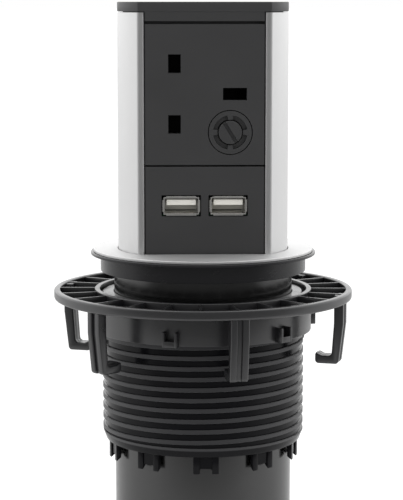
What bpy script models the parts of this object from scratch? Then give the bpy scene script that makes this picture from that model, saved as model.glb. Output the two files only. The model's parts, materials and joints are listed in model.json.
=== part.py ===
"""In-desk power module: a pull-up tower with one mains socket and two USB ports.

The tower slides in a round housing that drops through a hole in the desk. A trim
ring rests on the desk top, and a ribbed nut on the housing's thread clamps from below.
Metres, +Z up. The origin is the centre of the housing's foot, and the front faces -Y.
"""

import math

import bmesh
import bpy
from mathutils import Matrix, Vector

# Fits and facets
FIT_GAP = 0.0003
SLIDE_GAP = 0.0003
OVERLAP = 0.0006
WELD = 0.00001
ROUND_STEPS = 60
THREAD_STEPS = 40
SMALL_STEPS = 24
SMOOTH_ANGLE = math.radians(35)

# Levels above the foot
TRIM_TOP = 0.1450
TOWER_RISE = 0.0928
TOWER_TUCK = 0.0250

# Tower section
TOWER_RADIUS = 0.0323
FRONT_FLAT = 0.02105
SHELL_WALL = 0.0018
LIP_REACH = 0.00225
LIP_THICKNESS = 0.0016
SECTION_ARC_STEPS = 32

# Cap
CAP_THICKNESS = 0.0036
CAP_EDGE = 0.0007
APRON_DROP = 0.0034
SPIGOT_DEPTH = 0.0060
SPIGOT_WALL = 0.0020

# Front plates
PLATE_THICKNESS = 0.0033
PLATE_TONGUE = 0.0017
PLATE_RECESS = 0.0003
CAP_GROOVE = 0.0011
MODULE_GAP = 0.0006
SOCKET_PLATE_HEIGHT = 0.0516
USB_PLATE_HEIGHT = 0.0384

# Mains socket
PIN_PITCH = 0.02222
PIN_ROW = 0.01111
SOCKET_DROP = 0.0336
LINE_SLOT_WIDTH = 0.0046
LINE_SLOT_HEIGHT = 0.0068
EARTH_SLOT_WIDTH = 0.0088
EARTH_SLOT_HEIGHT = 0.0045
SLOT_WALL = 0.0014
SLOT_BOSS_DEPTH = 0.0016
SHUTTER_THICKNESS = 0.0016
SHUTTER_COVER = 0.0006
SHUTTER_TRAVEL = 0.0066
SHUTTER_BAR = 0.0036
RAMP_DEPTH = 0.0040
RAMP_HEIGHT = 0.0052
RAMP_ROOT = 0.0016
CLIP_METAL = 0.0008
CLIP_DEPTH = 0.0110
CLIP_MOUTH = 0.0046
LINE_CLIP_WIDTH = 0.0056
EARTH_CLIP_WIDTH = 0.0042
BODY_DEPTH = 0.0170
BODY_WALL = 0.0024
BODY_MARGIN = 0.0062

# Fuse
FUSE_X = 0.0094
FUSE_DROP = 0.0477
FUSE_RING_RADIUS = 0.0080
FUSE_RING_DEPTH = 0.0050
FUSE_TUBE_RADIUS = 0.0056
FUSE_HEAD_RADIUS = 0.00435
FUSE_HEAD_DEPTH = 0.0034
FUSE_HEAD_PROUD = 0.0004
FUSE_LINK_RADIUS = 0.00315
FUSE_LINK_LENGTH = 0.0254
FUSE_CAP_LENGTH = 0.0056
FUSE_CUP_WALL = 0.0007
FUSE_CUP_DEPTH = 0.0060
FUSE_SLOT_WIDTH = 0.0013
FUSE_SLOT_DEPTH = 0.0012
FUSE_SLOT_TILT = math.radians(32)
FUSE_RECESS_RADIUS = 0.0063
FUSE_RECESS_DEPTH = 0.0016
FUSE_RECESS_ARC = math.radians(70)
FUSE_RECESS_COUNT = 4

# USB ports
USB_X = 0.0087
USB_DROP = 0.0748
USB_WIDTH = 0.0131
USB_HEIGHT = 0.0064
USB_METAL = 0.0004
USB_LENGTH = 0.0140
USB_FLARE = 0.0004
USB_FLARE_DEPTH = 0.0008
USB_FLARE_NOTCH = 0.0010
USB_TONGUE_WIDTH = 0.0108
USB_TONGUE_HEIGHT = 0.0020
USB_TONGUE_RISE = 0.0012
USB_TONGUE_SET_BACK = 0.0016
USB_BACK = 0.0020

# Charger board
BOARD_THICKNESS = 0.0016
BOARD_WIDTH = 0.0400
BOARD_BACK = 0.0200
BOARD_RAIL = 0.0020
CORE_SIZE = (0.0160, 0.0120, 0.0110)
COIL_SIZE = (0.0100, 0.0152, 0.0080)
CAPACITOR_RADIUS = 0.0036
CAPACITOR_HEIGHT = 0.0110
CAPACITOR_X = 0.0145
CAPACITOR_Y = 0.0060
CORE_Y = 0.0110

# Tower foot and cable gland
FOOT_ROOM = 0.0009
FOOT_THICKNESS = 0.0064
RING_THICKNESS = 0.0020
GLAND_RADIUS = 0.0090
GLAND_FLANGE = 0.0112
GLAND_BORE = 0.0036
GLAND_LENGTH = 0.0110
GLAND_FLANGE_HEIGHT = 0.0024

# Housing tube
TUBE_ROOM = 0.0017
TUBE_DRAFT = 0.0004
TUBE_WALL = 0.0010

# Trim ring, and the collar below it with its lip
TRIM_INSET = 0.0010
TRIM_THICKNESS = 0.0008
TRIM_EDGE = 0.00025
COLLAR_LIP = 0.0037
COLLAR_LIP_HEIGHT = 0.0011
COLLAR_LIP_EDGE = 0.0003
COLLAR_WALL = 0.0048
COLLAR_HEIGHT = 0.0074
COLLAR_ROOF = 0.0022

# End cap of the housing
END_THICKNESS = 0.0030
END_RIM_WALL = 0.0020
CABLE_HOLE_RADIUS = 0.0080
END_EDGE = 0.0008

# Threaded sleeve
SLEEVE_WALL = 0.0026
THREAD_DEPTH = 0.0016
THREAD_PITCH = 0.003925
CREST_WIDTH = 0.0010
FLANK_WIDTH = 0.00045
SLEEVE_TOP = 0.1284
SLEEVE_BOTTOM = 0.0716
SLEEVE_RIM = 0.0036
RIM_TAPER = 0.0013
FRONT_CREST = 0.1090
PRONG_PAIRS = 10
PRONG_WIDTH = 0.0024
PRONG_GAP = 0.0046
PRONG_LENGTH = 0.0065
PRONG_DEPTH = 0.0018
PRONG_SLANT = 0.0014
WEB_THICKNESS = 0.0013

# Clamp nut
NUT_TOP = 0.1295
NUT_HEIGHT = 0.0158
NUT_COLLAR_WALL = 0.0026
NUT_BORE_RELIEF = 0.0007
NUT_BORE_LAND = 0.0060
NUT_RIM_REACH = 0.0155
NUT_RIM_HEIGHT = 0.0037
NUT_RIM_WALL = 0.0023
NUT_FLOOR = 0.0012
RIB_COUNT = 24
RIB_THICKNESS = 0.0010
RIB_HEIGHT = 0.0031
HOOK_COUNT = 6
HOOK_START = math.radians(11.8)
HOOK_WIDTH = 0.0068
HOOK_DROP = 0.0230
HOOK_INSET = 0.0019
HOOK_LEAN = 0.0008
HOOK_TOP_THICKNESS = 0.0030
HOOK_LOW_THICKNESS = 0.0020
HOOK_FOOT_THICKNESS = 0.0030
HOOK_FOOT_REACH = 0.0063
HOOK_TOE_RISE = 0.0008
HOOK_GROOVE_WIDTH = 0.0020
HOOK_GROOVE_DEPTH = 0.0013
LUG_WIDTH = 0.0056
LUG_HEIGHT = 0.0055
LUG_REACH = 0.0030
LUG_POCKET_WIDTH = 0.0036
LUG_POCKET_FLOOR = 0.0022

# Levels and faces that follow from the sizes above
TOWER_TOP = TRIM_TOP + TOWER_RISE
TOWER_TRAVEL = TOWER_RISE - CAP_THICKNESS
CAP_BOTTOM = TOWER_TOP - CAP_THICKNESS
SHELL_TOP = CAP_BOTTOM - FIT_GAP
SHELL_BOTTOM = TRIM_TOP - TOWER_TUCK
FOOT_TOP = SHELL_BOTTOM - FIT_GAP
FOOT_BOTTOM = FOOT_TOP - FOOT_THICKNESS
APRON_BOTTOM = CAP_BOTTOM - APRON_DROP
SOCKET_TOP = APRON_BOTTOM - CAP_GROOVE
SOCKET_BOTTOM = SOCKET_TOP - SOCKET_PLATE_HEIGHT
USB_TOP = SOCKET_BOTTOM - MODULE_GAP
USB_BOTTOM = USB_TOP - USB_PLATE_HEIGHT
SOCKET_Z = TOWER_TOP - SOCKET_DROP
FUSE_Z = TOWER_TOP - FUSE_DROP
USB_Z = TOWER_TOP - USB_DROP
SHELL_BORE = TOWER_RADIUS - SHELL_WALL
LIP_BACK = -FRONT_FLAT + LIP_THICKNESS
LIP_HALF = math.sqrt(TOWER_RADIUS ** 2 - FRONT_FLAT ** 2) - LIP_REACH
PLATE_FRONT = -FRONT_FLAT + PLATE_RECESS
PLATE_BACK = PLATE_FRONT + PLATE_THICKNESS
PLATE_HALF = LIP_HALF - FIT_GAP
TONGUE_FRONT = PLATE_BACK - PLATE_TONGUE
TONGUE_HALF = math.sqrt(SHELL_BORE ** 2 - TONGUE_FRONT ** 2) - 2 * FIT_GAP
BOSS_BACK = PLATE_BACK + SLOT_BOSS_DEPTH
SHUTTER_FRONT = BOSS_BACK + FIT_GAP
SHUTTER_BACK = SHUTTER_FRONT + SHUTTER_THICKNESS
BODY_FRONT = SHUTTER_FRONT + RAMP_DEPTH + FIT_GAP
BODY_BACK = BODY_FRONT + BODY_DEPTH
TUBE_TOP_RADIUS = TOWER_RADIUS + TUBE_ROOM
TUBE_BOTTOM_RADIUS = TUBE_TOP_RADIUS - TUBE_DRAFT
FOOT_RADIUS = TUBE_BOTTOM_RADIUS - TUBE_WALL - FOOT_ROOM
COLLAR_BORE = TUBE_TOP_RADIUS + FIT_GAP
COLLAR_RADIUS = COLLAR_BORE + COLLAR_WALL
LIP_RADIUS = COLLAR_RADIUS + COLLAR_LIP
TRIM_RADIUS = LIP_RADIUS - TRIM_INSET
TRIM_BOTTOM = TRIM_TOP - TRIM_THICKNESS
COLLAR_TOP = TRIM_BOTTOM - FIT_GAP
COLLAR_LIP_BOTTOM = COLLAR_TOP - COLLAR_LIP_HEIGHT
COLLAR_BOTTOM = COLLAR_TOP - COLLAR_HEIGHT
GUIDE_RADIUS = TOWER_RADIUS + SLIDE_GAP
GUIDE_FLAT = FRONT_FLAT + SLIDE_GAP
TUBE_TOP = COLLAR_TOP - COLLAR_ROOF - FIT_GAP
TUBE_BOTTOM = END_THICKNESS + FIT_GAP
SLEEVE_BORE = TUBE_TOP_RADIUS + FIT_GAP
THREAD_RADIUS = SLEEVE_BORE + SLEEVE_WALL + THREAD_DEPTH
PRONG_INNER = SLEEVE_BORE + FIT_GAP
PRONG_RADIUS = PRONG_INNER + PRONG_DEPTH
NUT_BOTTOM = NUT_TOP - NUT_HEIGHT
NUT_BORE = THREAD_RADIUS + FIT_GAP
NUT_COLLAR_RADIUS = NUT_BORE + NUT_COLLAR_WALL
NUT_RIM_RADIUS = NUT_COLLAR_RADIUS + NUT_RIM_REACH
NUT_RIM_BOTTOM = NUT_TOP - NUT_RIM_HEIGHT
HOOK_OUTER = NUT_RIM_RADIUS - HOOK_INSET
HOOK_BOTTOM = NUT_RIM_BOTTOM - HOOK_DROP
HOOK_BEND = NUT_RIM_BOTTOM - HOOK_DROP / 3
LUG_RADIUS = NUT_COLLAR_RADIUS + LUG_REACH
BOARD_TOP = USB_Z - USB_HEIGHT / 2 - FIT_GAP
BOARD_BOTTOM = BOARD_TOP - BOARD_THICKNESS
FUSE_FRONT = PLATE_FRONT - FUSE_HEAD_PROUD
CARTRIDGE_FRONT = FUSE_FRONT + FUSE_HEAD_DEPTH + FIT_GAP

FINISHES = {
    "silver": ((0.78, 0.78, 0.78), 0.42, 0.9),
    "trim_silver": ((0.72, 0.72, 0.73), 0.38, 0.9),
    "charcoal": ((0.045, 0.045, 0.047), 0.55, 0.0),
    "housing_black": ((0.022, 0.022, 0.027), 0.35, 0.0),
    "tube_grey": ((0.06, 0.06, 0.062), 0.30, 0.0),
    "shutter_grey": ((0.02, 0.02, 0.02), 0.6, 0.0),
    "brass": ((0.72, 0.53, 0.25), 0.35, 1.0),
    "port_steel": ((0.66, 0.64, 0.60), 0.28, 1.0),
    "port_insulator": ((0.74, 0.72, 0.67), 0.5, 0.0),
    "board_green": ((0.03, 0.16, 0.07), 0.5, 0.0),
    "core_grey": ((0.09, 0.09, 0.10), 0.6, 0.0),
    "capacitor_sleeve": ((0.03, 0.03, 0.05), 0.35, 0.0),
    "fuse_ceramic": ((0.82, 0.80, 0.75), 0.4, 0.0),
    "seal_rubber": ((0.02, 0.02, 0.02), 0.8, 0.0),
}


def clear_scene():
    """Takes every object out of the scene."""
    for item in list(bpy.data.objects):
        bpy.data.objects.remove(item, do_unlink=True)


def make_collection(name):
    group = bpy.data.collections.new(name)
    bpy.context.scene.collection.children.link(group)
    return group


def make_material(name):
    colour, roughness, metallic = FINISHES[name]
    made = bpy.data.materials.new(name)
    made.use_nodes = True
    shader = made.node_tree.nodes["Principled BSDF"]
    shader.inputs["Base Color"].default_value = (*colour, 1)
    shader.inputs["Roughness"].default_value = roughness
    shader.inputs["Metallic"].default_value = metallic
    return made


clear_scene()
PIECES = make_collection("in_desk_power_module")
CUTTERS = make_collection("cutters")
MATERIALS = {name: make_material(name) for name in FINISHES}
FACING_FRONT = Matrix.Rotation(math.pi / 2, 4, "X")


def add_object(name, mesh, finish, place=None):
    """A finished piece where finish names a material, and a cutter where it is None."""
    made = bpy.data.objects.new(name, mesh)
    if place is not None:
        made.matrix_world = place
    if finish is None:
        CUTTERS.objects.link(made)
        made.hide_render = True
        made.display_type = "WIRE"
    else:
        PIECES.objects.link(made)
        mesh.materials.append(MATERIALS[finish])
    return made


def mesh_from(name, bm):
    mesh = bpy.data.meshes.new(name)
    bmesh.ops.recalc_face_normals(bm, faces=bm.faces)
    bm.to_mesh(mesh)
    bm.free()
    return mesh


def block_into(bm, low, high, turn=None):
    """Adds one box between two corners to a bmesh, turned about Z if asked."""
    size = Vector(high) - Vector(low)
    centre = (Vector(high) + Vector(low)) / 2
    place = Matrix.Translation(centre) @ Matrix.Diagonal((*size, 1))
    if turn is not None:
        place = Matrix.Rotation(turn, 4, "Z") @ place
    return bmesh.ops.create_cube(bm, size=1, matrix=place)["verts"]


def block(name, low, high, finish, turn=None):
    bm = bmesh.new()
    block_into(bm, low, high, turn)
    return add_object(name, mesh_from(name, bm), finish)


def rod_into(bm, x, y, low, high, radius, steps=SMALL_STEPS):
    place = Matrix.Translation((x, y, (low + high) / 2))
    bmesh.ops.create_cone(bm, cap_ends=True, segments=steps, radius1=radius,
                          radius2=radius, depth=high - low, matrix=place)


def rod(name, low, high, radius, finish, steps=SMALL_STEPS, place=None):
    """Upright cylinder on the axis of its own frame."""
    bm = bmesh.new()
    rod_into(bm, 0, 0, low, high, radius, steps)
    return add_object(name, mesh_from(name, bm), finish, place)


def turned(name, profile, finish, steps=ROUND_STEPS, place=None):
    """Turned piece: a closed profile of (radius, height), outer side first and downwards."""
    mesh = bpy.data.meshes.new(name)
    count = len(profile)
    edges = [(k, (k + 1) % count) for k in range(count)
             if profile[k][0] > 0 or profile[(k + 1) % count][0] > 0]
    mesh.from_pydata([(radius, 0, height) for radius, height in profile], edges, [])
    made = add_object(name, mesh, finish, place)
    screw = made.modifiers.new("turn", "SCREW")
    screw.axis = "Z"
    screw.angle = math.tau
    screw.steps = steps
    screw.render_steps = steps
    screw.use_merge_vertices = True
    screw.merge_threshold = WELD
    return made


def prism(name, outlines, low, high, finish, place=None):
    """Solid between two heights, from a closed outline and any holes inside it."""
    curve = bpy.data.curves.new(name, "CURVE")
    curve.dimensions = "2D"
    curve.fill_mode = "BOTH"
    curve.extrude = (high - low) / 2
    for points in outlines:
        spline = curve.splines.new("POLY")
        spline.points.add(len(points) - 1)
        for point, (x, y) in zip(spline.points, points):
            point.co = (x, y, 0, 1)
        spline.use_cyclic_u = True
    guide = bpy.data.objects.new(name + "_outline", curve)
    PIECES.objects.link(guide)
    bpy.context.view_layer.update()
    mesh = bpy.data.meshes.new_from_object(guide.evaluated_get(bpy.context.evaluated_depsgraph_get()))
    mesh.name = name
    bpy.data.objects.remove(guide, do_unlink=True)
    bm = bmesh.new()
    bm.from_mesh(mesh)
    bmesh.ops.remove_doubles(bm, verts=bm.verts, dist=WELD)
    bmesh.ops.translate(bm, verts=bm.verts, vec=(0, 0, (low + high) / 2))
    bmesh.ops.recalc_face_normals(bm, faces=bm.faces)
    bm.to_mesh(mesh)
    bm.free()
    mesh.materials.clear()
    return add_object(name, mesh, finish, place)


def combine(target, tool, operation):
    """Cuts a tool from a piece, or joins it to the piece, with a live Boolean."""
    change = target.modifiers.new(tool.name, "BOOLEAN")
    change.operation = operation
    change.object = tool
    change.solver = "EXACT"


def cut(target, tool):
    combine(target, tool, "DIFFERENCE")


def join(target, tool):
    combine(target, tool, "UNION")


def round_edges(target, width, segments=2):
    bevel = target.modifiers.new("edges", "BEVEL")
    bevel.width = width
    bevel.segments = segments
    bevel.limit_method = "ANGLE"
    bevel.angle_limit = SMOOTH_ANGLE


def smooth(*pieces):
    for piece in pieces:
        piece.data.shade_smooth()
        piece.data.set_sharp_from_angle(angle=SMOOTH_ANGLE)


def arc(radius, start, end, steps):
    """Points along an arc about the axis, ends included."""
    turns = [start + (end - start) * k / steps for k in range(steps + 1)]
    return [(radius * math.cos(turn), radius * math.sin(turn)) for turn in turns]


def d_outline(radius, flat):
    """Round section with a flat front at y = -flat."""
    corner = math.asin(-flat / radius)
    return arc(radius, corner, math.pi - corner, SECTION_ARC_STEPS)


def front_block(name, x, z, width, height, front, back, finish):
    """Box given by its centre and size on the front, and its depth from front to back."""
    return block(name, (x - width / 2, front, z - height / 2),
                 (x + width / 2, back, z + height / 2), finish)


def make_shell():
    """Aluminium extrusion: a C section, open at the front between two lips."""
    outer = d_outline(TOWER_RADIUS, FRONT_FLAT)
    inner = d_outline(SHELL_BORE, -LIP_BACK)
    right_lip = [(LIP_HALF, LIP_BACK), (LIP_HALF, -FRONT_FLAT)]
    left_lip = [(-LIP_HALF, -FRONT_FLAT), (-LIP_HALF, LIP_BACK)]
    outline = right_lip + outer + left_lip + inner[::-1]
    shell = prism("tower_shell", [outline], SHELL_BOTTOM, SHELL_TOP, "silver")
    smooth(shell)
    return shell


def make_cap():
    """Top cap with the apron that fills the slot above the socket plate, and its spigot."""
    section = d_outline(TOWER_RADIUS, FRONT_FLAT)
    cap = prism("top_cap", [section], CAP_BOTTOM, TOWER_TOP, "charcoal")
    round_edges(cap, CAP_EDGE)
    apron = block("cap_apron", (-PLATE_HALF, PLATE_FRONT, APRON_BOTTOM),
                  (PLATE_HALF, PLATE_BACK, CAP_BOTTOM + OVERLAP), None)
    join(cap, apron)
    spigot_radius = SHELL_BORE - FIT_GAP
    rim = d_outline(spigot_radius, -PLATE_BACK - FIT_GAP)
    hollow = d_outline(spigot_radius - SPIGOT_WALL, -PLATE_BACK - FIT_GAP - SPIGOT_WALL)
    spigot = prism("cap_spigot", [rim, hollow], CAP_BOTTOM - SPIGOT_DEPTH, CAP_BOTTOM + OVERLAP, None)
    join(cap, spigot)
    return cap


def front_plate(name, low, high):
    """Plate with a face between the shell's lips and a wider tongue behind them."""
    plate = block(name, (-PLATE_HALF, PLATE_FRONT, low), (PLATE_HALF, PLATE_BACK, high), "charcoal")
    tongue = block(name + "_tongue", (-TONGUE_HALF, TONGUE_FRONT, low), (TONGUE_HALF, PLATE_BACK, high), None)
    join(plate, tongue)
    return plate


def socket_slots():
    """The three pin slots: name, x, z, width and height."""
    return [("live", -PIN_ROW, SOCKET_Z + PIN_PITCH / 2, LINE_SLOT_WIDTH, LINE_SLOT_HEIGHT),
            ("neutral", -PIN_ROW, SOCKET_Z - PIN_PITCH / 2, LINE_SLOT_WIDTH, LINE_SLOT_HEIGHT),
            ("earth", PIN_ROW, SOCKET_Z, EARTH_SLOT_WIDTH, EARTH_SLOT_HEIGHT)]


def make_socket_plate():
    """Socket front with a guide boss behind each pin slot and a hole for the fuse ring."""
    plate = front_plate("socket_plate", SOCKET_BOTTOM, SOCKET_TOP)
    bosses = bmesh.new()
    slots = bmesh.new()
    for _, x, z, width, height in socket_slots():
        reach_x = width / 2 + SLOT_WALL
        reach_z = height / 2 + SLOT_WALL
        block_into(bosses, (x - reach_x, PLATE_BACK - OVERLAP, z - reach_z), (x + reach_x, BOSS_BACK, z + reach_z))
        block_into(slots, (x - width / 2, PLATE_FRONT - OVERLAP, z - height / 2),
                   (x + width / 2, BOSS_BACK + OVERLAP, z + height / 2))
    join(plate, add_object("slot_bosses", mesh_from("slot_bosses", bosses), None))
    cut(plate, add_object("slot_cutter", mesh_from("slot_cutter", slots), None))
    hole = rod("fuse_hole", -PLATE_BACK - OVERLAP, -PLATE_FRONT + OVERLAP, FUSE_RING_RADIUS + FIT_GAP, None,
               steps=ROUND_STEPS // 2, place=Matrix.Translation((FUSE_X, 0, FUSE_Z)) @ FACING_FRONT)
    cut(plate, hole)
    return plate


def make_usb_plate():
    """USB front with two port windows and two rails behind it that carry the board."""
    plate = front_plate("usb_plate", USB_BOTTOM, USB_TOP)
    rails = bmesh.new()
    for side in (-1, 1):
        near = side * (BOARD_WIDTH / 2 - BOARD_RAIL)
        far = side * BOARD_WIDTH / 2
        block_into(rails, (min(near, far), PLATE_BACK - OVERLAP, BOARD_BOTTOM - FIT_GAP - 2 * BOARD_RAIL),
                   (max(near, far), BOARD_BACK, BOARD_BOTTOM - FIT_GAP))
    join(plate, add_object("board_rails", mesh_from("board_rails", rails), None))
    windows = bmesh.new()
    window_width = USB_WIDTH + 2 * USB_FLARE + 2 * FIT_GAP
    window_height = USB_HEIGHT + 2 * USB_FLARE + 2 * FIT_GAP
    for side in (-1, 1):
        x = side * USB_X
        block_into(windows, (x - window_width / 2, PLATE_FRONT - OVERLAP, USB_Z - window_height / 2),
                   (x + window_width / 2, PLATE_BACK + OVERLAP, USB_Z + window_height / 2))
    cut(plate, add_object("port_windows", mesh_from("port_windows", windows), None))
    return plate


def make_port(side_name, side):
    """USB port: a folded steel can with four flared lips, and the insulator inside it."""
    x = side * USB_X
    front = PLATE_FRONT - USB_METAL
    back = front + USB_LENGTH
    can = front_block("usb_can_" + side_name, x, USB_Z, USB_WIDTH, USB_HEIGHT, front, back, "port_steel")
    lips = [("side", USB_WIDTH + 2 * USB_FLARE, USB_HEIGHT - 2 * USB_FLARE_NOTCH),
            ("long", USB_WIDTH - 2 * USB_FLARE_NOTCH, USB_HEIGHT + 2 * USB_FLARE)]
    for lip_name, width, height in lips:
        join(can, front_block(f"usb_{lip_name}_lips_{side_name}", x, USB_Z, width, height,
                              front, front + USB_FLARE_DEPTH, None))
    mouth = front_block("usb_mouth_" + side_name, x, USB_Z, USB_WIDTH - 2 * USB_METAL,
                        USB_HEIGHT - 2 * USB_METAL, front - OVERLAP, back - USB_METAL, None)
    cut(can, mouth)
    tongue_back = back - USB_METAL - FIT_GAP
    insulator = front_block("usb_insulator_" + side_name, x, USB_Z, USB_WIDTH - 2 * USB_METAL - 2 * FIT_GAP,
                            USB_HEIGHT - 2 * USB_METAL - 2 * FIT_GAP, tongue_back - USB_BACK, tongue_back,
                            "port_insulator")
    tongue = front_block("usb_tongue_" + side_name, x, USB_Z + USB_TONGUE_RISE, USB_TONGUE_WIDTH,
                         USB_TONGUE_HEIGHT, front + USB_TONGUE_SET_BACK, tongue_back - USB_BACK + OVERLAP, None)
    join(insulator, tongue)
    return [can, insulator]


def make_board():
    """Charger board with its transformer and two capacitors."""
    board = block("charger_board", (-BOARD_WIDTH / 2, PLATE_BACK + FIT_GAP, BOARD_BOTTOM),
                  (BOARD_WIDTH / 2, BOARD_BACK, BOARD_TOP), "board_green")
    width, depth, height = CORE_SIZE
    base = BOARD_TOP + FIT_GAP
    core = block("transformer_core", (-width / 2, CORE_Y - depth / 2, base),
                 (width / 2, CORE_Y + depth / 2, base + height), "core_grey")
    coil_width, coil_depth, coil_height = COIL_SIZE
    middle = base + height / 2
    coil = block("transformer_coil", (-coil_width / 2, CORE_Y - coil_depth / 2, middle - coil_height / 2),
                 (coil_width / 2, CORE_Y + coil_depth / 2, middle + coil_height / 2), None)
    join(core, coil)
    pieces = [board, core]
    for side_name, side in (("left", -1), ("right", 1)):
        can = rod("capacitor_" + side_name, 0, CAPACITOR_HEIGHT, CAPACITOR_RADIUS, "capacitor_sleeve",
                  place=Matrix.Translation((side * CAPACITOR_X, CAPACITOR_Y, base)))
        smooth(can)
        pieces.append(can)
    return pieces


def make_socket_body():
    """Moulding behind the shutter with a pocket for each brass contact."""
    line_reach = LINE_CLIP_WIDTH / 2 + BODY_WALL
    left = -PIN_ROW - BODY_MARGIN
    middle = -PIN_ROW + BODY_MARGIN
    right = PIN_ROW + BODY_MARGIN
    low = SOCKET_Z - PIN_PITCH / 2 - line_reach
    high = SOCKET_Z + PIN_PITCH / 2 + line_reach
    arm_low = SOCKET_Z - BODY_MARGIN
    arm_high = SOCKET_Z + BODY_MARGIN
    outline = [(left, low), (middle, low), (middle, arm_low), (right, arm_low),
               (right, arm_high), (middle, arm_high), (middle, high), (left, high)]
    body = prism("socket_body", [outline], -BODY_BACK, -BODY_FRONT, "housing_black", place=FACING_FRONT)
    pockets = bmesh.new()
    half_mouth = CLIP_MOUTH / 2 + CLIP_METAL + FIT_GAP
    depth = BODY_FRONT + CLIP_DEPTH + 2 * FIT_GAP
    for slot_name, x, z, _, _ in socket_slots():
        reach_x = half_mouth
        reach_z = LINE_CLIP_WIDTH / 2 + FIT_GAP
        if slot_name == "earth":
            reach_x = EARTH_CLIP_WIDTH / 2 + FIT_GAP
            reach_z = half_mouth
        block_into(pockets, (x - reach_x, BODY_FRONT - OVERLAP, z - reach_z), (x + reach_x, depth, z + reach_z))
    cut(body, add_object("contact_pockets", mesh_from("contact_pockets", pockets), None))
    return body


def make_contact(slot_name, x, z):
    """Folded brass clip: two leaves and a back, gripping a pin between them."""
    outer = CLIP_MOUTH / 2 + CLIP_METAL
    inner = CLIP_MOUTH / 2
    outline = [(-outer, 0), (-inner, 0), (-inner, CLIP_DEPTH - CLIP_METAL), (inner, CLIP_DEPTH - CLIP_METAL),
               (inner, 0), (outer, 0), (outer, CLIP_DEPTH), (-outer, CLIP_DEPTH)]
    width = LINE_CLIP_WIDTH
    turn = Matrix.Identity(4)
    if slot_name == "earth":
        width = EARTH_CLIP_WIDTH
        turn = Matrix.Rotation(math.pi / 2, 4, "Y")
    place = Matrix.Translation((x, BODY_FRONT + FIT_GAP, z)) @ turn
    return prism(slot_name + "_contact", [outline], -width / 2, width / 2, "brass", place=place)


def make_shutter():
    """Sliding shutter: a bar with a flap over each line slot and a ramp behind the earth slot."""
    half_flap_x = LINE_SLOT_WIDTH / 2 + SHUTTER_COVER
    half_flap_z = LINE_SLOT_HEIGHT / 2 + SHUTTER_COVER
    left = -PIN_ROW - half_flap_x
    right = -PIN_ROW + half_flap_x
    top = SOCKET_Z + PIN_PITCH / 2 + half_flap_z
    bottom = SOCKET_Z - PIN_PITCH / 2 - half_flap_z
    ramp_low = PIN_ROW - EARTH_SLOT_WIDTH / 2
    bar_low = SOCKET_Z - SHUTTER_BAR / 2
    bar_high = SOCKET_Z + SHUTTER_BAR / 2
    outline = [(left, bottom), (right, bottom), (right, bar_low), (ramp_low, bar_low),
               (ramp_low, bar_high), (right, bar_high), (right, top), (left, top)]
    shutter = prism("safety_shutter", [outline], -SHUTTER_BACK, -SHUTTER_FRONT, "shutter_grey",
                    place=FACING_FRONT)
    ramp_back = SHUTTER_FRONT + RAMP_DEPTH
    slope = [(ramp_low - RAMP_ROOT, SHUTTER_FRONT), (ramp_low, SHUTTER_FRONT),
             (ramp_low + SHUTTER_TRAVEL, ramp_back), (ramp_low - RAMP_ROOT, ramp_back)]
    ramp = prism("shutter_ramp", [slope], SOCKET_Z - RAMP_HEIGHT / 2, SOCKET_Z + RAMP_HEIGHT / 2, None)
    join(shutter, ramp)
    return shutter


def make_fuse_holder():
    """Fixed ring round the fuse carrier, with its tube behind the plate and four arc recesses."""
    front = -PLATE_FRONT
    bore = FUSE_HEAD_RADIUS + FIT_GAP
    back = -(CARTRIDGE_FRONT + FUSE_LINK_LENGTH + FIT_GAP)
    profile = [(FUSE_RING_RADIUS, front), (FUSE_RING_RADIUS, front - FUSE_RING_DEPTH),
               (FUSE_TUBE_RADIUS, front - FUSE_RING_DEPTH), (FUSE_TUBE_RADIUS, back - FIT_GAP),
               (FUSE_LINK_RADIUS, back - FIT_GAP), (FUSE_LINK_RADIUS, back), (bore, back), (bore, front)]
    place = Matrix.Translation((FUSE_X, 0, FUSE_Z)) @ FACING_FRONT
    holder = turned("fuse_holder", profile, "charcoal", steps=ROUND_STEPS // 2, place=place)
    for k in range(FUSE_RECESS_COUNT):
        centre = math.pi / 4 + math.tau * k / FUSE_RECESS_COUNT
        start = centre - FUSE_RECESS_ARC / 2
        end = centre + FUSE_RECESS_ARC / 2
        outline = arc(FUSE_RECESS_RADIUS, start, end, 8) + arc(bore - OVERLAP, end, start, 8)
        recess = prism(f"fuse_recess_{k + 1}", [outline], front - FUSE_RECESS_DEPTH, front + OVERLAP, None, place)
        cut(holder, recess)
    smooth(holder)
    return holder


def make_fuse_carrier():
    """Turning carrier: a slotted head and the cup that grips the fuse link."""
    front = -FUSE_FRONT
    head_back = front - FUSE_HEAD_DEPTH
    cup_inner = FUSE_LINK_RADIUS + FIT_GAP
    cup_outer = cup_inner + FUSE_CUP_WALL
    cup_back = head_back - FUSE_CUP_DEPTH
    edge = FUSE_HEAD_PROUD / 2
    profile = [(0, front), (FUSE_HEAD_RADIUS - edge, front), (FUSE_HEAD_RADIUS, front - edge),
               (FUSE_HEAD_RADIUS, head_back), (cup_outer, head_back), (cup_outer, cup_back),
               (cup_inner, cup_back), (cup_inner, head_back), (0, head_back)]
    place = Matrix.Translation((FUSE_X, 0, FUSE_Z)) @ FACING_FRONT
    carrier = turned("fuse_carrier", profile, "charcoal", steps=SMALL_STEPS, place=place)
    slot = bmesh.new()
    half = FUSE_HEAD_RADIUS + OVERLAP
    block_into(slot, (-FUSE_SLOT_WIDTH / 2, -half, front - FUSE_SLOT_DEPTH),
               (FUSE_SLOT_WIDTH / 2, half, front + OVERLAP), turn=FUSE_SLOT_TILT)
    cut(carrier, add_object("driver_slot", mesh_from("driver_slot", slot), None, place))
    smooth(carrier)
    return carrier


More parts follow.
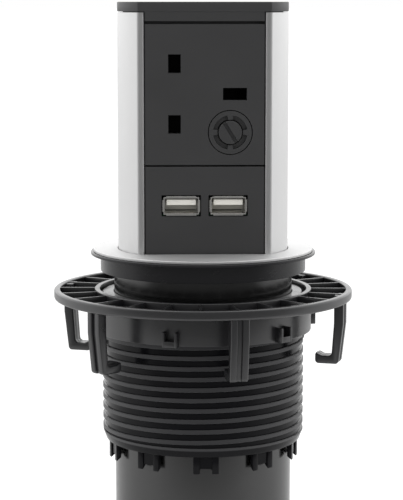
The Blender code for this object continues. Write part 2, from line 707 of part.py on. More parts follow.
def make_fuse_link():
    """Cartridge fuse: a ceramic body between two end caps."""
    front = -CARTRIDGE_FRONT
    back = front - FUSE_LINK_LENGTH
    waist = FUSE_LINK_RADIUS - FIT_GAP / 2
    profile = [(0, front), (FUSE_LINK_RADIUS, front), (FUSE_LINK_RADIUS, front - FUSE_CAP_LENGTH),
               (waist, front - FUSE_CAP_LENGTH), (waist, back + FUSE_CAP_LENGTH),
               (FUSE_LINK_RADIUS, back + FUSE_CAP_LENGTH), (FUSE_LINK_RADIUS, back), (0, back)]
    place = Matrix.Translation((FUSE_X, 0, FUSE_Z)) @ FACING_FRONT
    link = turned("fuse_link", profile, "fuse_ceramic", steps=SMALL_STEPS, place=place)
    smooth(link)
    return link


def make_tower_foot():
    """Round foot below the shell: too wide for the guide, so it stops the tower at the top."""
    groove_width = RING_THICKNESS + 2 * FIT_GAP
    groove_top = FOOT_TOP - (FOOT_THICKNESS - groove_width) / 2
    groove_bottom = groove_top - groove_width
    groove_radius = FOOT_RADIUS - RING_THICKNESS
    profile = [(FOOT_RADIUS, FOOT_TOP), (FOOT_RADIUS, groove_top), (groove_radius, groove_top),
               (groove_radius, groove_bottom), (FOOT_RADIUS, groove_bottom), (FOOT_RADIUS, FOOT_BOTTOM),
               (GLAND_RADIUS + FIT_GAP, FOOT_BOTTOM), (GLAND_RADIUS + FIT_GAP, FOOT_TOP)]
    foot = turned("tower_foot", profile, "housing_black")
    spigot_radius = SHELL_BORE - FIT_GAP
    rim = d_outline(spigot_radius, -PLATE_BACK - FIT_GAP)
    hollow = d_outline(spigot_radius - SPIGOT_WALL, -PLATE_BACK - FIT_GAP - SPIGOT_WALL)
    spigot = prism("foot_spigot", [rim, hollow], FOOT_TOP - OVERLAP, SHELL_BOTTOM + SPIGOT_DEPTH, None)
    join(foot, spigot)
    smooth(foot)
    return foot


def make_friction_ring():
    """Rubber ring in the foot's groove, which holds the tower where it is put."""
    outer = FOOT_RADIUS + FIT_GAP
    centre = FOOT_TOP - FOOT_THICKNESS / 2
    profile_steps = 8
    half = RING_THICKNESS / 2
    middle = outer - half
    profile = []
    for k in range(profile_steps):
        turn = math.pi / 2 - math.tau * k / profile_steps
        profile.append((middle + half * math.cos(turn), centre + half * math.sin(turn)))
    ring = turned("friction_ring", profile, "seal_rubber", steps=THREAD_STEPS)
    smooth(ring)
    return ring


def make_gland():
    """Cable gland in the tower's foot, with its cable bore open."""
    top = FOOT_TOP + GLAND_FLANGE_HEIGHT + FIT_GAP
    flange_low = FOOT_TOP + FIT_GAP
    low = top - GLAND_LENGTH
    profile = [(GLAND_FLANGE, top), (GLAND_FLANGE, flange_low), (GLAND_RADIUS, flange_low),
               (GLAND_RADIUS, low), (GLAND_BORE, low), (GLAND_BORE, top)]
    gland = turned("cable_gland", profile, "housing_black", steps=SMALL_STEPS)
    smooth(gland)
    return gland


def make_tube():
    """Housing tube, drawn in slightly towards its lower end."""
    profile = [(TUBE_TOP_RADIUS, TUBE_TOP), (TUBE_BOTTOM_RADIUS, TUBE_BOTTOM),
               (TUBE_BOTTOM_RADIUS - TUBE_WALL, TUBE_BOTTOM), (TUBE_TOP_RADIUS - TUBE_WALL, TUBE_TOP)]
    tube = turned("housing_tube", profile, "tube_grey")
    smooth(tube)
    return tube


def make_end_cap():
    """Foot of the housing: a rim that stops the tower, and the hole the cable leaves by."""
    rim_outer = TUBE_BOTTOM_RADIUS - TUBE_WALL - FIT_GAP
    rim_inner = rim_outer - END_RIM_WALL
    rim_top = FOOT_BOTTOM - TOWER_TRAVEL - FIT_GAP
    profile = [(rim_outer, rim_top), (rim_outer, END_THICKNESS), (TUBE_BOTTOM_RADIUS, END_THICKNESS),
               (TUBE_BOTTOM_RADIUS, END_EDGE), (TUBE_BOTTOM_RADIUS - END_EDGE, 0),
               (CABLE_HOLE_RADIUS, 0), (CABLE_HOLE_RADIUS, END_THICKNESS), (rim_inner, END_THICKNESS),
               (rim_inner, rim_top)]
    cap = turned("end_cap", profile, "housing_black")
    smooth(cap)
    return cap


def make_collar():
    """Collar that centres the unit in the desk hole, with its lip and the block for the flat."""
    roof_low = COLLAR_TOP - COLLAR_ROOF
    profile = [(LIP_RADIUS - COLLAR_LIP_EDGE, COLLAR_TOP), (LIP_RADIUS, COLLAR_TOP - COLLAR_LIP_EDGE),
               (LIP_RADIUS, COLLAR_LIP_BOTTOM), (COLLAR_RADIUS, COLLAR_LIP_BOTTOM),
               (COLLAR_RADIUS, COLLAR_BOTTOM), (COLLAR_BORE, COLLAR_BOTTOM), (COLLAR_BORE, roof_low),
               (GUIDE_FLAT, roof_low), (GUIDE_FLAT, COLLAR_TOP)]
    collar = turned("collar", profile, "housing_black")
    block_radius = TUBE_TOP_RADIUS - TUBE_WALL - 2 * FIT_GAP
    corner = math.asin(GUIDE_FLAT / block_radius)
    segment = arc(block_radius, math.pi + corner, math.tau - corner, SECTION_ARC_STEPS // 2)
    guide = prism("guide_block", [segment], FOOT_TOP + FIT_GAP, COLLAR_TOP - OVERLAP, None)
    join(collar, guide)
    opening = prism("guide_opening", [d_outline(GUIDE_RADIUS, GUIDE_FLAT)],
                    FOOT_BOTTOM, COLLAR_TOP + OVERLAP, None)
    cut(collar, opening)
    smooth(collar)
    return collar


def make_trim():
    """Thin trim ring that covers the collar, cut to the tower's section."""
    inner = GUIDE_FLAT - OVERLAP
    profile = [(TRIM_RADIUS - TRIM_EDGE, TRIM_TOP), (TRIM_RADIUS, TRIM_TOP - TRIM_EDGE),
               (TRIM_RADIUS, TRIM_BOTTOM), (inner, TRIM_BOTTOM), (inner, TRIM_TOP)]
    trim = turned("trim_ring", profile, "trim_silver")
    opening = prism("trim_opening", [d_outline(GUIDE_RADIUS, GUIDE_FLAT)],
                    TRIM_BOTTOM - OVERLAP, TRIM_TOP + OVERLAP, None)
    cut(trim, opening)
    smooth(trim)
    return trim


def thread_core(name, low, high):
    """Threaded bar between two heights: one pitch's profile swept along the helix."""
    root = THREAD_RADIUS - THREAD_DEPTH
    root_width = THREAD_PITCH - CREST_WIDTH - 2 * FLANK_WIDTH
    heights = [0, CREST_WIDTH, CREST_WIDTH + FLANK_WIDTH, CREST_WIDTH + FLANK_WIDTH + root_width, THREAD_PITCH]
    radii = [THREAD_RADIUS, THREAD_RADIUS, root, root, THREAD_RADIUS]
    turns = math.ceil((high - low) / THREAD_PITCH) + 3
    crest_middle = FRONT_CREST - CREST_WIDTH / 2
    pitches_down = math.ceil((crest_middle - low) / THREAD_PITCH) + 1
    start = crest_middle - pitches_down * THREAD_PITCH
    bm = bmesh.new()
    verts = [bm.verts.new((0, -radius, start + height)) for radius, height in zip(radii, heights)]
    edges = [bm.edges.new(pair) for pair in zip(verts, verts[1:])]
    steps = THREAD_STEPS * turns
    bmesh.ops.spin(bm, geom=verts + edges, cent=(0, 0, 0), axis=(0, 0, 1), dvec=(0, 0, THREAD_PITCH / THREAD_STEPS),
                   angle=math.tau * turns, steps=steps)
    bmesh.ops.remove_doubles(bm, verts=bm.verts, dist=WELD)
    for height, side in ((low, -1), (high, 1)):
        whole = bm.verts[:] + bm.edges[:] + bm.faces[:]
        bmesh.ops.bisect_plane(bm, geom=whole, dist=WELD / 10, plane_co=(0, 0, height),
                               plane_no=(0, 0, side), clear_outer=True)
    rims = [edge for edge in bm.edges if edge.is_boundary]
    bmesh.ops.holes_fill(bm, edges=rims, sides=0)
    return add_object(name, mesh_from(name, bm), "housing_black")


def make_sleeve():
    """Threaded sleeve round the tube, with a tapered rim and paired prongs below it."""
    rim_top = SLEEVE_BOTTOM + SLEEVE_RIM
    sleeve = thread_core("threaded_sleeve", rim_top - OVERLAP, SLEEVE_TOP)
    rim = [(THREAD_RADIUS, rim_top), (THREAD_RADIUS - RIM_TAPER, SLEEVE_BOTTOM), (0, SLEEVE_BOTTOM), (0, rim_top)]
    join(sleeve, turned("sleeve_rim", rim, None, steps=THREAD_STEPS))
    bore = rod("sleeve_bore", SLEEVE_BOTTOM - OVERLAP, SLEEVE_TOP + OVERLAP, SLEEVE_BORE, None, steps=THREAD_STEPS)
    cut(sleeve, bore)
    prongs = bmesh.new()
    top = SLEEVE_BOTTOM + OVERLAP
    for k in range(PRONG_PAIRS):
        turn = math.tau * k / PRONG_PAIRS
        for side in (-1, 1):
            near = side * PRONG_GAP / 2
            far = side * (PRONG_GAP / 2 + PRONG_WIDTH)
            verts = block_into(prongs, (min(near, far), -PRONG_RADIUS, SLEEVE_BOTTOM - PRONG_LENGTH),
                               (max(near, far), -PRONG_INNER, top))
            for vert in verts:
                if vert.co.z < SLEEVE_BOTTOM and vert.co.y > -PRONG_RADIUS + WELD:
                    vert.co.z += PRONG_SLANT
            bmesh.ops.rotate(prongs, verts=verts, cent=(0, 0, 0), matrix=Matrix.Rotation(turn, 3, "Z"))
    join(sleeve, add_object("sleeve_prongs", mesh_from("sleeve_prongs", prongs), None))
    webs = bmesh.new()
    half_web = PRONG_GAP / 2 + PRONG_WIDTH / 2
    for k in range(PRONG_PAIRS):
        block_into(webs, (-half_web, -PRONG_INNER - WEB_THICKNESS, SLEEVE_BOTTOM - PRONG_LENGTH * 0.7),
                   (half_web, -PRONG_INNER - FIT_GAP / 3, top - FIT_GAP / 3), turn=math.tau * k / PRONG_PAIRS)
    join(sleeve, add_object("prong_webs", mesh_from("prong_webs", webs), None))
    smooth(sleeve)
    return sleeve


def hook_faces():
    """The hook's inner and outer face at its lower end, as radii."""
    low_inner = HOOK_OUTER - HOOK_TOP_THICKNESS - HOOK_LEAN
    return low_inner, low_inner + HOOK_LOW_THICKNESS


def hook_outline():
    """Side view of a hook in (radius, height): a leg that tapers, and a foot turned in."""
    inner = HOOK_OUTER - HOOK_TOP_THICKNESS
    low_inner, low_outer = hook_faces()
    low = HOOK_BOTTOM
    toe = low_inner - HOOK_FOOT_REACH
    foot_top = low + HOOK_FOOT_THICKNESS
    top = NUT_TOP - OVERLAP
    corner = HOOK_TOE_RISE
    return [(HOOK_OUTER, top), (HOOK_OUTER, HOOK_BEND), (low_outer, low + corner),
            (low_outer - corner, low), (toe + corner, low), (toe, low + corner), (toe, foot_top + HOOK_TOE_RISE),
            (toe + corner, foot_top + HOOK_TOE_RISE), (toe + 3 * corner, foot_top), (low_inner - corner, foot_top),
            (low_inner, foot_top + corner), (inner, HOOK_BEND), (inner, top)]


def groove_outline():
    """Side view of the groove down a hook's outer face, which follows the taper."""
    low = HOOK_BOTTOM - OVERLAP
    floor = HOOK_OUTER - HOOK_GROOVE_DEPTH
    low_floor = hook_faces()[1] - HOOK_GROOVE_DEPTH
    return [(NUT_RIM_RADIUS + OVERLAP, NUT_RIM_BOTTOM), (NUT_RIM_RADIUS + OVERLAP, low), (low_floor, low),
            (floor, HOOK_BEND), (floor, NUT_RIM_BOTTOM)]


def extrude_upright(name, outline, width, finish):
    """Solid from a (radius, height) outline in the plane through the axis and the front."""
    place = Matrix.Rotation(-math.pi / 2, 4, "Z") @ FACING_FRONT
    return prism(name, [outline], -width / 2, width / 2, finish, place)


def copies_about_axis(name, piece, count, start):
    """One cutter mesh that holds a piece repeated about the axis, and drops the first."""
    bm = bmesh.new()
    for k in range(count):
        source = piece.data.copy()
        source.transform(Matrix.Rotation(start + math.tau * k / count, 4, "Z") @ piece.matrix_world)
        bm.from_mesh(source)
        bpy.data.meshes.remove(source)
    bpy.data.objects.remove(piece, do_unlink=True)
    return add_object(name, mesh_from(name, bm), None)


def make_nut():
    """Clamp nut: a collar on the thread, a rim on ribs, and hooks and lugs round it."""
    bore = NUT_BORE + NUT_BORE_RELIEF
    land_top = NUT_BOTTOM + NUT_BORE_LAND
    profile = [(NUT_COLLAR_RADIUS, NUT_TOP), (NUT_COLLAR_RADIUS, NUT_BOTTOM), (NUT_BORE, NUT_BOTTOM),
               (NUT_BORE, land_top), (bore, land_top + NUT_BORE_RELIEF), (bore, NUT_TOP)]
    nut = turned("clamp_nut", profile, "housing_black")
    rim_inner = NUT_RIM_RADIUS - NUT_RIM_WALL
    rim = turned("nut_rim", [(NUT_RIM_RADIUS, NUT_TOP), (NUT_RIM_RADIUS, NUT_RIM_BOTTOM), (rim_inner, NUT_RIM_BOTTOM),
                             (rim_inner, NUT_TOP)], None)
    join(nut, rim)
    floor_low = NUT_RIM_BOTTOM + WELD
    floor_top = NUT_RIM_BOTTOM + NUT_FLOOR
    floor_outer = rim_inner + OVERLAP
    floor_inner = NUT_COLLAR_RADIUS - OVERLAP
    floor = turned("nut_floor", [(floor_outer, floor_top), (floor_outer, floor_low), (floor_inner, floor_low),
                                 (floor_inner, floor_top)], None)
    join(nut, floor)
    ribs = bmesh.new()
    rib_top = NUT_TOP - FIT_GAP
    for k in range(RIB_COUNT):
        block_into(ribs, (-RIB_THICKNESS / 2, -rim_inner - OVERLAP, rib_top - RIB_HEIGHT),
                   (RIB_THICKNESS / 2, -NUT_COLLAR_RADIUS + OVERLAP, rib_top),
                   turn=HOOK_START + math.tau * k / RIB_COUNT)
    join(nut, add_object("nut_ribs", mesh_from("nut_ribs", ribs), None))
    hook = extrude_upright("hook", hook_outline(), HOOK_WIDTH, None)
    join(nut, copies_about_axis("nut_hooks", hook, HOOK_COUNT, HOOK_START))
    groove = extrude_upright("groove", groove_outline(), HOOK_GROOVE_WIDTH, None)
    cut(nut, copies_about_axis("hook_grooves", groove, HOOK_COUNT, HOOK_START))
    lug_start = HOOK_START + math.pi / HOOK_COUNT
    lug = block("lug", (-LUG_WIDTH / 2, -LUG_RADIUS, NUT_BOTTOM),
                (LUG_WIDTH / 2, -NUT_COLLAR_RADIUS + OVERLAP, NUT_BOTTOM + LUG_HEIGHT), None)
    join(nut, copies_about_axis("nut_lugs", lug, HOOK_COUNT, lug_start))
    pocket = block("pocket", (-LUG_POCKET_WIDTH / 2, -LUG_RADIUS - OVERLAP, NUT_BOTTOM + LUG_POCKET_FLOOR),
                   (LUG_POCKET_WIDTH / 2, -NUT_COLLAR_RADIUS - FIT_GAP, NUT_BOTTOM + LUG_HEIGHT + OVERLAP), None)
    cut(nut, copies_about_axis("lug_pockets", pocket, HOOK_COUNT, lug_start))
    smooth(nut)
    return nut


def carry(name, location, pieces):
    """Hangs the pieces of one moving body on an empty that stands on its joint axis."""
    pivot = bpy.data.objects.new(name, None)
    PIECES.objects.link(pivot)
    pivot.matrix_world = Matrix.Translation(location)
    for piece in pieces:
        place = piece.matrix_world.copy()
        piece.parent = pivot
        piece.matrix_parent_inverse = Matrix.Translation(location).inverted()
        piece.matrix_basis = place
    return pivot


def build():
    """Makes every piece, and hangs the moving ones on their axes."""
    make_end_cap()
    make_tube()
    make_collar()
    make_trim()
    make_sleeve()
    nut = make_nut()
    tower = [make_shell(), make_cap(), make_socket_plate(), make_usb_plate(), make_socket_body(),
             make_fuse_holder(), make_tower_foot(), make_friction_ring(), make_gland()]
    tower += make_board() + make_port("left", -1) + make_port("right", 1)
    tower += [make_contact(name, x, z) for name, x, z, _, _ in socket_slots()]
    shutter = make_shutter()
    fuse = [make_fuse_carrier(), make_fuse_link()]
    carry("nut_axis", (0, 0, NUT_BOTTOM), [nut])
    tower_axis = carry("tower_axis", (0, 0, FOOT_BOTTOM), tower)
    shutter_axis = carry("shutter_axis", (0, SHUTTER_FRONT, SOCKET_Z), [shutter])
    fuse_axis = carry("fuse_axis", (FUSE_X, PLATE_FRONT, FUSE_Z), fuse)
    for axis in (shutter_axis, fuse_axis):
        axis.parent = tower_axis
        axis.matrix_parent_inverse = tower_axis.matrix_world.inverted()


build()
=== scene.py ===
import json
import math

import bmesh
import bpy
from mathutils import Matrix, Vector


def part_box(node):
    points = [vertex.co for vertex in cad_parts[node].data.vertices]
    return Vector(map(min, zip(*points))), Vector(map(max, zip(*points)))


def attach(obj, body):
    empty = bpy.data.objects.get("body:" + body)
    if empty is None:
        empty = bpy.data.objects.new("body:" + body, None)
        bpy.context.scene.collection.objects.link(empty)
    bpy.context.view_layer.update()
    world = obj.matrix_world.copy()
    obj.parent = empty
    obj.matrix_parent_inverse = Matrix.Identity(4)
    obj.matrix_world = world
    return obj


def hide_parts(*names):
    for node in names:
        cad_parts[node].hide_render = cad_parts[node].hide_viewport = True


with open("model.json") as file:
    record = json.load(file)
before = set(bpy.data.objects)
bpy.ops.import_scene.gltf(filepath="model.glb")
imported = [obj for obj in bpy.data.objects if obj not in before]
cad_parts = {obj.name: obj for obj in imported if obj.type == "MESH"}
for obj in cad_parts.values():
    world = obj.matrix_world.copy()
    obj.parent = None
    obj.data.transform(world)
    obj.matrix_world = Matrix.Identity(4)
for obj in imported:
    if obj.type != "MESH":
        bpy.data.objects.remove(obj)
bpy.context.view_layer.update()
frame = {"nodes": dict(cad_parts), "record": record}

# The look of the in-desk power module: the finish of every surface, and finer
# meshes for the turned, moulded and threaded pieces. Metres, +Z up, front at -Y.

MM = 0.001
NODES = frame["nodes"]

# An edge beyond SHARP is an edge of the form, and faces within FLAT are one face. Parts that are
# joined reach into each other by OVERLAP, and their small edges are eased by SMALL_EASING.
SHARP = math.radians(32)
FLAT = math.radians(0.6)
WELD = 0.002 * MM
OVERLAP = 0.5 * MM
SMALL_EASING = 0.2 * MM

# Sizes taken from the frame
FOOT_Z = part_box("end_cap")[0].z
TRIM_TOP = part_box("trim_ring")[1].z
SHELL_FACE_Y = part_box("tower_shell")[0].y
CREST_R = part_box("threaded_sleeve")[1].x


# Shader groups

def group(name, inputs, outputs):
    """Empty shader group with named sockets: name and kind, and a start value for a float."""
    made = bpy.data.node_groups.new(name, "ShaderNodeTree")
    for label, kind, *start in inputs:
        socket = made.interface.new_socket(label, in_out="INPUT", socket_type=kind)
        if start:
            socket.default_value = start[0]
    for label, kind in outputs:
        made.interface.new_socket(label, in_out="OUTPUT", socket_type=kind)
    return made, made.nodes.new("NodeGroupInput"), made.nodes.new("NodeGroupOutput")


def number(tree, operation, *values):
    """Math node fed by sockets or plain numbers."""
    node = tree.nodes.new("ShaderNodeMath")
    node.operation = operation
    for socket, value in zip(node.inputs, values):
        if hasattr(value, "is_output"):
            tree.links.new(value, socket)
        else:
            socket.default_value = value
    return node.outputs[0]


def weighted(tree, first, first_share, second, second_share):
    """Sum of two values, each taken with its share."""
    return number(tree, "ADD", number(tree, "MULTIPLY", first, first_share),
                  number(tree, "MULTIPLY", second, second_share))


def separated(tree, vector):
    """Outputs X, Y and Z of a vector."""
    node = tree.nodes.new("ShaderNodeSeparateXYZ")
    tree.links.new(vector, node.inputs[0])
    return node.outputs


def radius_of(tree, parts):
    """Distance from the Z axis, from a separated place."""
    squares = [number(tree, "POWER", parts[axis], 2.0) for axis in ("X", "Y")]
    return number(tree, "SQRT", number(tree, "ADD", *squares))


def scaled(tree, vector, factors):
    """Vector with each part multiplied by its own factor."""
    node = tree.nodes.new("ShaderNodeVectorMath")
    node.operation = "MULTIPLY"
    tree.links.new(vector, node.inputs[0])
    node.inputs[1].default_value = factors
    return node.outputs[0]


def noise(tree, vector, scale, detail=2.0, roughness=0.5):
    """Noise from 0 to 1, in a field of its own size."""
    node = tree.nodes.new("ShaderNodeTexNoise")
    tree.links.new(vector, node.inputs["Vector"])
    if hasattr(scale, "is_output"):
        tree.links.new(scale, node.inputs["Scale"])
    else:
        node.inputs["Scale"].default_value = scale
    node.inputs["Detail"].default_value = detail
    node.inputs["Roughness"].default_value = roughness
    return node.outputs["Fac"]


def mixed_colour(tree, share, first, second):
    """Mix of two colours, each given as a socket or as three numbers."""
    node = tree.nodes.new("ShaderNodeMix")
    node.data_type = "RGBA"
    factor, colour_a, colour_b = node.inputs[0], node.inputs[6], node.inputs[7]
    tree.links.new(share, factor)
    for socket, value in ((colour_a, first), (colour_b, second)):
        if hasattr(value, "is_output"):
            tree.links.new(value, socket)
        else:
            socket.default_value = (*value, 1)
    return node.outputs[2]


SURFACE_OUTPUTS = [(label, "NodeSocketFloat") for label in ("Tone", "Wear", "Height")]


def moulded_group():
    """Moulded plastic: a fine spark-eroded grain, with slow changes of tone and handling marks."""
    made, source, result = group(
        "moulded_surface",
        [("Coordinate", "NodeSocketVector"), ("Grain Scale", "NodeSocketFloat", 4000.0),
         ("Patch Scale", "NodeSocketFloat", 60.0)],
        SURFACE_OUTPUTS)
    place = source.outputs["Coordinate"]
    grain = noise(made, place, source.outputs["Grain Scale"], 3.0, 0.6)
    patch = noise(made, place, source.outputs["Patch Scale"], 4.0, 0.55)
    marks = noise(made, scaled(made, place, (1.0, 1.0, 2.5)), source.outputs["Patch Scale"], 6.0, 0.65)
    handled = number(made, "SMOOTH_MAX", marks, number(made, "MULTIPLY", grain, 0.8), 0.1)
    made.links.new(weighted(made, grain, 0.45, patch, 0.55), result.inputs["Tone"])
    made.links.new(handled, result.inputs["Wear"])
    made.links.new(grain, result.inputs["Height"])
    return made


def drawn_group():
    """Drawn or extruded metal: long lines along Z that break up slowly."""
    made, source, result = group(
        "drawn_metal",
        [("Coordinate", "NodeSocketVector"), ("Line Scale", "NodeSocketFloat", 2500.0),
         ("Patch Scale", "NodeSocketFloat", 40.0)],
        SURFACE_OUTPUTS)
    place = source.outputs["Coordinate"]
    lines = noise(made, scaled(made, place, (1.0, 1.0, 0.012)), source.outputs["Line Scale"], 3.0, 0.7)
    etch = noise(made, place, number(made, "MULTIPLY", source.outputs["Line Scale"], 2.0), 2.0, 0.5)
    patch = noise(made, place, source.outputs["Patch Scale"], 3.0, 0.5)
    both = weighted(made, lines, 0.7, etch, 0.3)
    made.links.new(weighted(made, both, 0.5, patch, 0.5), result.inputs["Tone"])
    made.links.new(weighted(made, lines, 0.4, patch, 0.6), result.inputs["Wear"])
    made.links.new(both, result.inputs["Height"])
    return made


def turned_group():
    """Turned metal: fine rings about the Z axis, with slow changes of gloss."""
    made, source, result = group(
        "turned_metal",
        [("Coordinate", "NodeSocketVector"), ("Ring Scale", "NodeSocketFloat", 5000.0),
         ("Patch Scale", "NodeSocketFloat", 50.0)],
        SURFACE_OUTPUTS)
    place = source.outputs["Coordinate"]
    parts = separated(made, place)
    ring_place = made.nodes.new("ShaderNodeCombineXYZ")
    made.links.new(radius_of(made, parts), ring_place.inputs["X"])
    made.links.new(parts["Z"], ring_place.inputs["Z"])
    rings = noise(made, ring_place.outputs[0], source.outputs["Ring Scale"], 2.0, 0.6)
    patch = noise(made, place, source.outputs["Patch Scale"], 3.0, 0.5)
    both = weighted(made, rings, 0.5, patch, 0.5)
    made.links.new(both, result.inputs["Tone"])
    made.links.new(both, result.inputs["Wear"])
    made.links.new(rings, result.inputs["Height"])
    return made


def crest_light_group():
    """Mask of the thread's crests, 1 beyond a radius, for their painted highlight and duller gloss."""
    made, source, result = group(
        "crest_painted_light",
        [("Coordinate", "NodeSocketVector"), ("Start Radius", "NodeSocketFloat", 0.038),
         ("Full Radius", "NodeSocketFloat", 0.0384)],
        [("Mask", "NodeSocketFloat")])
    parts = separated(made, source.outputs["Coordinate"])
    ramp = made.nodes.new("ShaderNodeMapRange")
    ramp.interpolation_type = "SMOOTHSTEP"
    made.links.new(radius_of(made, parts), ramp.inputs["Value"])
    made.links.new(source.outputs["Start Radius"], ramp.inputs["From Min"])
    made.links.new(source.outputs["Full Radius"], ramp.inputs["From Max"])
    made.links.new(ramp.outputs[0], result.inputs["Mask"])
    return made


MOULDED = moulded_group()
DRAWN = drawn_group()
TURNED = turned_group()
CREST_LIGHT_MASK = crest_light_group()


# Materials

WEAR_LOW = 0.3
WEAR_HIGH = 0.7


def finish(name, pattern, dark, light, smooth, rough, relief, metallic=0.0, specular=0.5, **values):
    """Material whose colour, gloss and relief all follow one of the surface groups.

    smooth and rough are the roughness where the wear is low and high."""
    made = bpy.data.materials.new(name)
    made.use_nodes = True
    tree = made.node_tree
    shader = tree.nodes["Principled BSDF"]
    shader.inputs["Metallic"].default_value = metallic
    shader.inputs["Specular IOR Level"].default_value = specular
    surface = tree.nodes.new("ShaderNodeGroup")
    surface.node_tree = pattern
    place = tree.nodes.new("ShaderNodeTexCoord")
    tree.links.new(place.outputs["Object"], surface.inputs["Coordinate"])
    for label, value in values.items():
        surface.inputs[label.replace("_", " ").title()].default_value = value
    colour = mixed_colour(tree, surface.outputs["Tone"], dark, light)
    tree.links.new(colour, shader.inputs["Base Color"])
    gloss = tree.nodes.new("ShaderNodeMapRange")
    gloss.inputs["From Min"].default_value = WEAR_LOW
    gloss.inputs["From Max"].default_value = WEAR_HIGH
    gloss.inputs["To Min"].default_value = smooth
    gloss.inputs["To Max"].default_value = rough
    tree.links.new(surface.outputs["Wear"], gloss.inputs["Value"])
    tree.links.new(gloss.outputs[0], shader.inputs["Roughness"])
    bump = tree.nodes.new("ShaderNodeBump")
    bump.inputs["Distance"].default_value = relief
    bump.inputs["Strength"].default_value = 1.0
    tree.links.new(surface.outputs["Height"], bump.inputs["Height"])
    tree.links.new(bump.outputs[0], shader.inputs["Normal"])
    return made


def grey(level):
    """Colour with one level in all channels."""
    return (level, level, level)


def painted_crest_light(made, colour, painted_sheen_colour, dullness, start, full):
    """Adds a painted highlight to a thread's crests: a greyer colour and a duller gloss beyond a radius.

    The crest colour turns paler where the surface turns away from the eye, as a painted sheen."""
    tree = made.node_tree
    shader = tree.nodes["Principled BSDF"]
    mask = tree.nodes.new("ShaderNodeGroup")
    mask.node_tree = CREST_LIGHT_MASK
    place = tree.nodes.new("ShaderNodeTexCoord")
    tree.links.new(place.outputs["Object"], mask.inputs["Coordinate"])
    mask.inputs["Start Radius"].default_value = start
    mask.inputs["Full Radius"].default_value = full
    # Painted sheen: the crest colour grows paler where the surface faces away from the eye
    facing = tree.nodes.new("ShaderNodeLayerWeight").outputs["Facing"]
    painted_crest_colour = mixed_colour(tree, facing, colour, painted_sheen_colour)
    plain_colour = shader.inputs["Base Color"].links[0].from_socket
    # Painted highlight: the crests take the lighter colour beyond a radius
    both_colours = mixed_colour(tree, mask.outputs["Mask"], plain_colour, painted_crest_colour)
    tree.links.new(both_colours, shader.inputs["Base Color"])
    gloss = tree.nodes.new("ShaderNodeMix")
    tree.links.new(mask.outputs["Mask"], gloss.inputs[0])
    tree.links.new(shader.inputs["Roughness"].links[0].from_socket, gloss.inputs[2])
    gloss.inputs[3].default_value = dullness
    tree.links.new(gloss.outputs[0], shader.inputs["Roughness"])
    return made


FINISHES = {
    "shell_metal": finish("shell_metal", DRAWN, grey(0.64), grey(0.74),
                          0.36, 0.46, 0.004 * MM, metallic=1.0),
    "trim_metal": finish("trim_metal", TURNED, grey(0.62), grey(0.72),
                         0.56, 0.68, 0.004 * MM, metallic=1.0),
    "fascia_plastic": finish("fascia_plastic", MOULDED, (0.030, 0.030, 0.031), (0.042, 0.042, 0.043),
                             0.42, 0.56, 0.012 * MM, grain_scale=3600.0),
    "housing_plastic": finish("housing_plastic", MOULDED, (0.007, 0.007, 0.009), (0.013, 0.013, 0.017),
                              0.13, 0.24, 0.004 * MM, grain_scale=2600.0),
    "tube_plastic": finish("tube_plastic", MOULDED, grey(0.002), grey(0.005),
                           0.16, 0.26, 0.004 * MM, specular=1.0, grain_scale=1800.0),
    # Near-black with little gloss: painted shade, so that the shutters' ramps read as dark as the deep slots
    "shutter_plastic": finish("shutter_plastic", MOULDED, grey(0.001), grey(0.002),
                              0.75, 0.9, 0.01 * MM, specular=0.1),
    "ring_rubber": finish("ring_rubber", MOULDED, grey(0.012), grey(0.022), 0.65, 0.85, 0.02 * MM),
    "port_steel": finish("port_steel", DRAWN, (0.66, 0.65, 0.62), (0.80, 0.79, 0.76),
                         0.16, 0.3, 0.003 * MM, metallic=1.0),
    "port_insulator": finish("port_insulator", MOULDED, (0.78, 0.76, 0.70), (0.88, 0.86, 0.80),
                             0.4, 0.55, 0.008 * MM),
    "board_laminate": finish("board_laminate", MOULDED, (0.006, 0.07, 0.025), (0.012, 0.12, 0.045),
                             0.2, 0.35, 0.01 * MM),
    "core_ferrite": finish("core_ferrite", MOULDED, grey(0.05), grey(0.09), 0.5, 0.7, 0.03 * MM),
    "capacitor_sleeve": finish("capacitor_sleeve", MOULDED, (0.012, 0.012, 0.03), (0.02, 0.02, 0.05),
                               0.2, 0.3, 0.004 * MM),
    "contact_brass": finish("contact_brass", DRAWN, (0.62, 0.44, 0.18), (0.78, 0.58, 0.28),
                            0.22, 0.4, 0.005 * MM, metallic=1.0),
    "fuse_ceramic": finish("fuse_ceramic", MOULDED, (0.70, 0.68, 0.62), (0.80, 0.78, 0.72),
                           0.2, 0.3, 0.004 * MM),
}

# Some black pieces come out of moulds of their own, each with its own gloss. The socket body's near-black is
# painted shade in the slots, and the thread's colours are painted shade in its grooves and a painted
# highlight on its crests.
OWN_FINISHES = {
    # Near-black with little gloss: painted shade, so that the socket's insides read as dark as the deep
    # slots
    "socket_body": finish("housing_plastic_socket", MOULDED, grey(0.001), grey(0.002),
                          0.75, 0.9, 0.01 * MM, specular=0.1),
    "clamp_nut": finish("housing_plastic_nut", MOULDED, (0.008, 0.008, 0.009), (0.014, 0.014, 0.016),
                        0.26, 0.36, 0.004 * MM, specular=1.0, grain_scale=2600.0),
    "collar": finish("housing_plastic_collar", MOULDED, (0.011, 0.011, 0.012), (0.016, 0.016, 0.018),
                     0.20, 0.30, 0.004 * MM, specular=0.32, grain_scale=2600.0),
    # The thread's dark base colour is painted shade in its grooves; its crests get a painted highlight
    # (0.033) that turns to a painted sheen (0.123) at grazing angles
    "threaded_sleeve": painted_crest_light(
        finish("housing_plastic_thread", MOULDED, (0.004, 0.004, 0.005), (0.006, 0.006, 0.007),
               0.14, 0.24, 0.004 * MM, specular=0.14, grain_scale=2600.0),
        (0.033, 0.033, 0.035), (0.123, 0.123, 0.125), 0.42, CREST_R - 0.5 * MM, CREST_R - 0.25 * MM),
}
